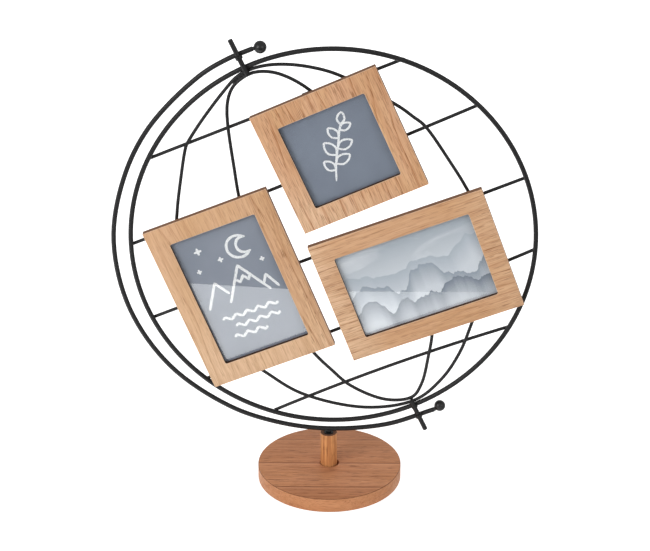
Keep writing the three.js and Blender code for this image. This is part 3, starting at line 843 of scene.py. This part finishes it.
# Meridian arc
def arc_ball(end, outward, radius, inward, stalk):
    """A ball whose stalk stands on an end of the arc's wire, with a fillet between them."""
    centre = end + outward * BALL_FROM_END - end.normalized() * inward
    away = centre - end
    foot = math.acos((stalk + STALK_FLARE) / radius)
    top = math.radians(BALL_CROWN)
    turns = [(foot + top) * step / BALL_STEPS - foot for step in range(BALL_STEPS + 1)]
    ball = [(radius * math.cos(turn), radius * math.sin(turn)) for turn in turns]
    fillet = [(stalk + out, ball[0][1] - drop) for out, drop in STALK_FILLET]
    shell = turned([(stalk, -away.length), *fillet, *ball], SMALL_ROUND)
    way = Vector((away.x, 0, away.y)).to_track_quat("Z", "Y").to_matrix().to_4x4()
    return moved(shell, Matrix.Translation((centre.x, 0, centre.y)) @ way)


def build_arc():
    """The arc with its balls and the straps that hold the pins."""
    dress("meridian_arc", wire(ARC_PATH, 0, RING_WIRE), [WIRE_PAINT], "stand", GLOBE_PLACE)
    ways = headings(ARC_PATH)
    for spot, end, outward in (("top", ARC_PATH[0], -ways[0]), ("bottom", ARC_PATH[-1], ways[-1])):
        ball = arc_ball(end, outward, *BALLS[spot])
        dress(f"arc_ball_{spot}", ball, [BALL_PAINT], "stand", GLOBE_PLACE)
    for node in ("pivot_strap_top", "pivot_strap_bottom"):
        dress(node, softened_copy(node, STRAP_ROUNDING), [WIRE_PAINT], "stand")


# Stand
def base_finish(at, normal):
    """Top, side or rim of the base."""
    if abs(normal.z) > FLAT:
        return 0
    return 1 if abs(normal.z) < UPRIGHT or at.z < BASE_TOP / 2 else 2


def post_finish(at, normal):
    """Side, or upper end of the post in darker end grain with painted shade."""
    return int(at.z > POST_TOP - 1 and normal.z > SLOPED)


def build_base():
    """The base with its socket, and the felt in its recess."""
    felt = turned([(FELT_RADIUS, 0), (FELT_RADIUS, FELT_THICKNESS)], WIDE_ROUND)
    dress("felt_pad", soften(felt, FELT_ROUNDING), [FELT], "stand")
    recess = FELT_RADIUS + FELT_CLEARANCE
    profile = [(recess, FELT_THICKNESS + GAP), (recess, BASE_BOTTOM), (BASE_RADIUS, BASE_BOTTOM),
               (BASE_RADIUS, BASE_TOP), (SOCKET_RADIUS, BASE_TOP), (SOCKET_RADIUS, SOCKET_FLOOR)]
    base = faced(soften(turned(profile, WIDE_ROUND), WOOD_ROUNDING, FINE_STEPS), base_finish)
    dress("base", base, [BASE_WOOD, BASE_SIDE, BASE_RIM], "stand")


def build_post():
    """The post with the insert in its end, the stud that is screwed into it, and the screw below."""
    place = Matrix.Translation((POST_X * MM, 0, 0))
    bore = INSERT_FLANGE_RADIUS + GAP
    post = turned([(POST_RADIUS, POST_FOOT), (POST_RADIUS, POST_TOP), (bore, POST_TOP),
                   (bore, POST_TOP - INSERT_FLANGE - GAP)])
    post = faced(soften(post, WOOD_ROUNDING, FINE_STEPS), post_finish)
    dress("post", post, [POST_WOOD, POST_END_GRAIN_AND_SHADE], "stand", place)

    thread = STUD_RADIUS + GAP
    insert = turned([(INSERT_FLANGE_RADIUS, POST_TOP - INSERT_FLANGE), (INSERT_FLANGE_RADIUS, POST_TOP),
                     (thread, POST_TOP), (thread, POST_TOP - INSERT_FLANGE)], closed=True)
    dress("threaded_insert", soften(insert, SMALL_ROUNDING), [STEEL_PAINT], "stand", place)

    weld = [(radius, STUD_TOP - drop) for radius, drop in STUD_WELD]
    stud = turned([(STUD_RADIUS, STUD_BOTTOM), *weld])
    dress("arc_stud", stud, [WIRE_PAINT], "stand", place)
    for node in ("base_washer", "base_screw"):
        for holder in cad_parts[node].material_slots:
            holder.material = ZINC


# Photo frames
def frame_board(width, height):
    """A flat frame with an opening, and a rebate behind the opening's lip."""
    rebate = REBATE + GAP
    rows = [(FRAME_BORDER, FRAME_CORNER, FRAME_FRONT_Y), (0, OPENING_CORNER, FRAME_FRONT_Y),
            (0, OPENING_CORNER, LIP_BACK_Y), (rebate, REBATE_CORNER, LIP_BACK_Y),
            (rebate, REBATE_CORNER, FRAME_BACK_Y), (FRAME_BORDER, FRAME_CORNER, FRAME_BACK_Y)]
    shell = bridged([[(x, depth, z) for x, z in rectangle(width + 2 * out, height + 2 * out, corner)]
                     for out, corner, depth in rows], closed=True)

    def finish_of(at, normal):
        """Veneer, outer edge, opening's wall in painted shade, or front bevel in a painted highlight."""
        if abs(normal.y) > FLAT:
            return 0
        if normal.y < -SLOPED:
            return 3
        wall = rebate + WALL_MARGIN
        return 2 if abs(at.x) < width / 2 + wall and abs(at.z) < height / 2 + wall else 1

    return faced(soften(shell, FRAME_ROUNDING), finish_of)


def stroke(path, width, order):
    """A chalk line with an uneven edge, as a thin solid that lies over the lines drawn before it."""
    front = CARD_Y[0] - CHALK_FRONT - CHALK_STEP * order
    back = CARD_Y[0] - CHALK_BACK
    seed = order * CHALK_LINE_SEED
    rings = []
    last = len(path) - 1
    for index, (point, way) in enumerate(zip(path, headings(path))):
        taper = min(1, CHALK_TIP + CHALK_TAPER * min(index, last - index))
        side = Vector((-way.y, way.x)) * width / 2 * taper
        x, z = (part * CHALK_WAVER_SCALE for part in point)
        left, right = (1 + CHALK_WAVER * noise.noise(Vector((x, z, seed + side_seed)))
                       for side_seed in CHALK_SIDE_SEEDS)
        edges = (point + side * left, point - side * right)
        rings.append([(edge.x, depth, edge.y) for edge, depth in
                      ((edges[0], front), (edges[0], back), (edges[1], back), (edges[1], front))])
    return bridged(rings)


def arc_points(centre, radius, start, end, steps=24):
    """A line along part of a circle, between two angles in degrees."""
    x, z = centre
    turns = [math.radians(start + (end - start) * step / steps) for step in range(steps + 1)]
    return [Vector((x + radius * math.cos(turn), z + radius * math.sin(turn))) for turn in turns]


def straight_points(*corners, step=1.5):
    """A line through the corners, with points close together."""
    path = []
    for start, end in zip(corners, corners[1:]):
        start, end = Vector(start), Vector(end)
        count = max(1, round((end - start).length / step))
        path.extend(start.lerp(end, index / count) for index in range(count))
    return [*path, Vector(corners[-1])]


def wave_points(x, z, count, length=12, height=1.9):
    """A line of waves to the right of a point."""
    rises = (0, height, 0, -height)
    return spline([(x + length / 4 * step, z + rises[step % 4]) for step in range(4 * count + 1)])


def night_hills():
    """Chalk drawing: a crescent moon and stars over peaks and water."""
    lines = [arc_points((16, 43), 12, 40, 320), arc_points((22.5, 43), 8.6, 64, 296)]
    for x, z, reach in ((-24, 52, 4), (-6, 36, 3), (-31, 31, 2.6), (33, 22, 2.6)):
        lines.append(straight_points((x - reach, z), (x + reach, z)))
        lines.append(straight_points((x, z - reach), (x, z + reach)))
    lines.append(straight_points((-38, -12), (-22, 14), (-12, -2)))
    lines.append(straight_points((-15, -12), (7, 24), (29, -12)))
    lines.append(straight_points((-1, 11), (3, 6), (8, 12), (12, 6), (15, 11)))
    lines.append(straight_points((24, -4), (30, 5), (38, -12)))
    for x, z, count in ((-30, -27, 5), (-20, -38, 4), (-26, -49, 3)):
        lines.append(wave_points(x, z, count))
    return lines


# Side of a leaf, as shares of its length and of its half width
LEAF_SIDE = [(0, 0), (0.35, 1), (0.72, 0.8), (1, 0)]


def leaf_sprig(lean=52, plumpness=0.27):
    """Chalk drawing: a sprig with leaves to either side and one at its tip."""
    stem = spline([(-16, -29), (-9, -12), (0, 4), (11, 24)])
    ways = headings(stem)
    lines = [stem]
    leaves = [(5, 1, 15), (8, -1, 17), (12, 1, 18), (15, -1, 17), (19, 1, 15), (22, -1, 13), (24, 0, 13)]
    for index, sign, length in leaves:
        base = stem[index]
        along = Matrix.Rotation(math.radians(lean * sign), 2) @ ways[index] * length
        across = Vector((-along.y, along.x)) * plumpness
        for side in (1, -1):
            lines.append(spline([base + along * far + across * side * wide for far, wide in LEAF_SIDE]))
    return lines


# Chalk drawings and the widths of their lines
DRAWINGS = {"portrait": (night_hills, 2.8), "square": (leaf_sprig, 2)}


def draw_card(name, place):
    """The chalk lines on a card, as one piece."""
    draw, width = DRAWINGS[name]
    shell = bmesh.new()
    for order, line in enumerate(draw()):
        added(shell, stroke(line, width, order))
    add_piece(f"{name}_chalk_drawing", shell, [CHALK], "globe", place)


def build_frame(name):
    """A photo frame with its glass, card, back board, turn buttons and wire clips."""
    (width, height), centre, turn = FRAMES[name]
    place = frame_place(centre, turn)
    sheet = rectangle(width + 2 * REBATE, height + 2 * REBATE, SHEET_CORNER)
    finishes = [VENEERS[name], EDGE, SHADED_WALL, EDGE_HIGHLIGHT]
    dress(f"{name}_frame", frame_board(width, height), finishes, "globe", place)
    dress(f"{name}_glass", plate(sheet, *GLASS_Y), [GLASS], "globe", place)
    dress(f"{name}_photo_card", plate(sheet, *CARD_Y), [CARDS[name]], "globe", place)
    back_board = soften(plate(sheet, *BOARD_Y), BOARD_ROUNDING)
    dress(f"{name}_back_board", back_board, [HARDBOARD], "globe", place)
    if name in DRAWINGS:
        draw_card(name, place)
    for side in ("left", "right"):
        node = f"{name}_turn_button_{side}"
        button = softened_copy(node, SMALL_ROUNDING)
        dress(node, button, [STEEL_PAINT], f"{name}_button_{side}")
    for end in ("top", "bottom"):
        node = f"{name}_wire_clip_{end}"
        dress(node, softened_copy(node, SMALL_ROUNDING), [NYLON], "globe")


# Screws on the frames' backs
def carved(shell, cutter):
    """The first solid with the second one's volume taken out."""
    holders = []
    for solid in (shell, cutter):
        bmesh.ops.recalc_face_normals(solid, faces=solid.faces)
        mesh = bpy.data.meshes.new("carving")
        solid.to_mesh(mesh)
        solid.free()
        holders.append(add_object("carving", mesh))
    holders[0].modifiers.new("carving", "BOOLEAN").object = holders[1]
    graph = bpy.context.evaluated_depsgraph_get()
    result = bmesh.new()
    result.from_object(holders[0], graph)
    for holder in holders:
        bpy.data.meshes.remove(holder.data)
    return result


def pan_head_screw():
    """A wood screw along Y whose domed head has a cross recess."""
    top = SCREW_UNDER_HEAD + SCREW_HEAD
    dome = [(2.8, SCREW_UNDER_HEAD + 1), (2.2, SCREW_UNDER_HEAD + 1.4), (1.2, top - 0.04), (0.3, top)]
    profile = [(SCREW_TIP_RADIUS, SCREW_TIP), (SCREW_SHANK, SCREW_TIP + SCREW_TIP_LENGTH),
               (SCREW_SHANK, SCREW_UNDER_HEAD), (SCREW_HEAD_RADIUS, SCREW_UNDER_HEAD),
               (SCREW_HEAD_RADIUS, SCREW_UNDER_HEAD + SCREW_RIM), *dome]
    screw = moved(turned(profile, SMALL_ROUND), Matrix.Rotation(-math.pi / 2, 4, "X"))
    arm, half = RECESS_REACH, RECESS_WIDTH
    cross = [(arm, half), (half, half), (half, arm), (-half, arm), (-half, half), (-arm, half),
             (-arm, -half), (-half, -half), (-half, -arm), (half, -arm), (half, -half), (arm, -half)]
    return carved(screw, plate(cross, top - RECESS_DEPTH, top + 1))


def build_screws():
    """The screws of every frame, each left at a turn of its own."""
    pattern = bpy.data.meshes.new("screw_pattern")
    screw = pan_head_screw()
    screw.to_mesh(pattern)
    screw.free()
    turn = SCREW_FIRST_TURN
    for name in FRAMES:
        for kind, side in SCREW_PLACES:
            node = f"{name}_{kind}_screw_{side}"
            low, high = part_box(node)
            middle = (low + high) / 2
            shell = bmesh.new()
            shell.from_mesh(pattern)
            place = Matrix.Translation((middle.x, 0, middle.z)) @ Matrix.Rotation(turn, 4, "Y")
            dress(node, shell, [ZINC], "globe", place)
            turn += SCREW_TURN_STEP
    bpy.data.meshes.remove(pattern)


# Studio
def stage_floor():
    """A white floor that shows white to the camera and keeps the object's soft shadow."""
    outline = [*FLOOR_FRONT, (FLOOR_REACH, FLOOR_BACK), (-FLOOR_REACH, FLOOR_BACK)]
    mesh = bpy.data.meshes.new("studio_floor")
    mesh.from_pydata([(x, y, -FLOOR_DROP) for x, y in outline], [], [range(len(outline))])
    floor = add_object("studio_floor", mesh)
    finish = Finish("floor_white", Base_Color=(0.85, 0.85, 0.85, 1), Roughness=0.9, Specular_IOR_Level=0)
    rays = finish.rays()
    seen = finish.math("MULTIPLY", rays["Is Camera Ray"], FLOOR_GLOW)
    through = finish.math("MAXIMUM", rays["Is Glossy Ray"], rays["Is Transmission Ray"])
    # Painted reflection: the glow seen in gloss and through glass fades to the right
    painted_reflection = finish.span(finish.axes(finish.coords())[0], *REFLECTION_FADE, 1, 0)
    strength = finish.math("MAXIMUM", seen, finish.math("MULTIPLY", through, painted_reflection))
    glow = finish.node("Emission", {"Color": WHITE, "Strength": strength})
    finish.surface(finish.node("AddShader", {0: finish.shader.outputs[0], 1: glow}))
    mesh.materials.append(finish.material)


def studio_world():
    """Even light from above the horizon, little from below it, and white behind the object."""
    world = bpy.data.worlds.new("studio")
    bpy.context.scene.world = world
    world.use_nodes = True
    nodes, links = world.node_tree.nodes, world.node_tree.links
    place = nodes.new("ShaderNodeTexCoord")
    height = nodes.new("ShaderNodeSeparateXYZ")
    links.new(place.outputs["Generated"], height.inputs[0])
    sky = nodes.new("ShaderNodeMapRange")
    links.new(height.outputs["Z"], sky.inputs[0])
    for socket, value in zip(sky.inputs[1:5], (-HORIZON, HORIZON, GROUND_LEVEL, SKY_LEVEL)):
        socket.default_value = value
    path = nodes.new("ShaderNodeLightPath")
    strength = nodes.new("ShaderNodeMath")
    strength.operation = "MAXIMUM"
    links.new(sky.outputs[0], strength.inputs[0])
    links.new(path.outputs["Is Camera Ray"], strength.inputs[1])
    background = nodes["Background"]
    background.inputs["Color"].default_value = WHITE
    links.new(strength.outputs[0], background.inputs["Strength"])


def add_lamp(name):
    """A soft rectangular lamp that faces the globe, or the like light from a white table or a far wall."""
    at, width, height, level, mirrored = LAMPS[name]
    light = bpy.data.lights.new(name, "AREA")
    light.shape = "RECTANGLE"
    light.size = width
    light.size_y = height
    light.energy = level * math.pi * width * height
    lamp = add_object(name, light)
    away = Vector(at) - GLOBE_CENTRE * MM
    lamp.matrix_world = Matrix.Translation(at) @ away.to_track_quat("Z", "Y").to_matrix().to_4x4()
    lamp.visible_glossy = mirrored
    lamp.visible_transmission = mirrored


def photo_camera():
    """The camera that took the photo."""
    data = bpy.data.cameras.new("photo_camera")
    data.lens = CAMERA_LENS
    data.sensor_width = SENSOR_WIDTH
    data.sensor_fit = "HORIZONTAL"
    camera = add_object("photo_camera", data)
    turn = (-CAMERA_FORWARD).to_track_quat("Z", "Y").to_matrix().to_4x4()
    camera.matrix_world = Matrix.Translation(CAMERA_AT) @ turn
    bpy.context.scene.camera = camera


build_base()
build_post()
build_arc()
build_globe()
for frame_name in FRAMES:
    build_frame(frame_name)
build_screws()
stage_floor()
studio_world()
for lamp_name in LAMPS:
    add_lamp(lamp_name)
photo_camera()
bpy.context.scene.view_settings.view_transform = "Standard"
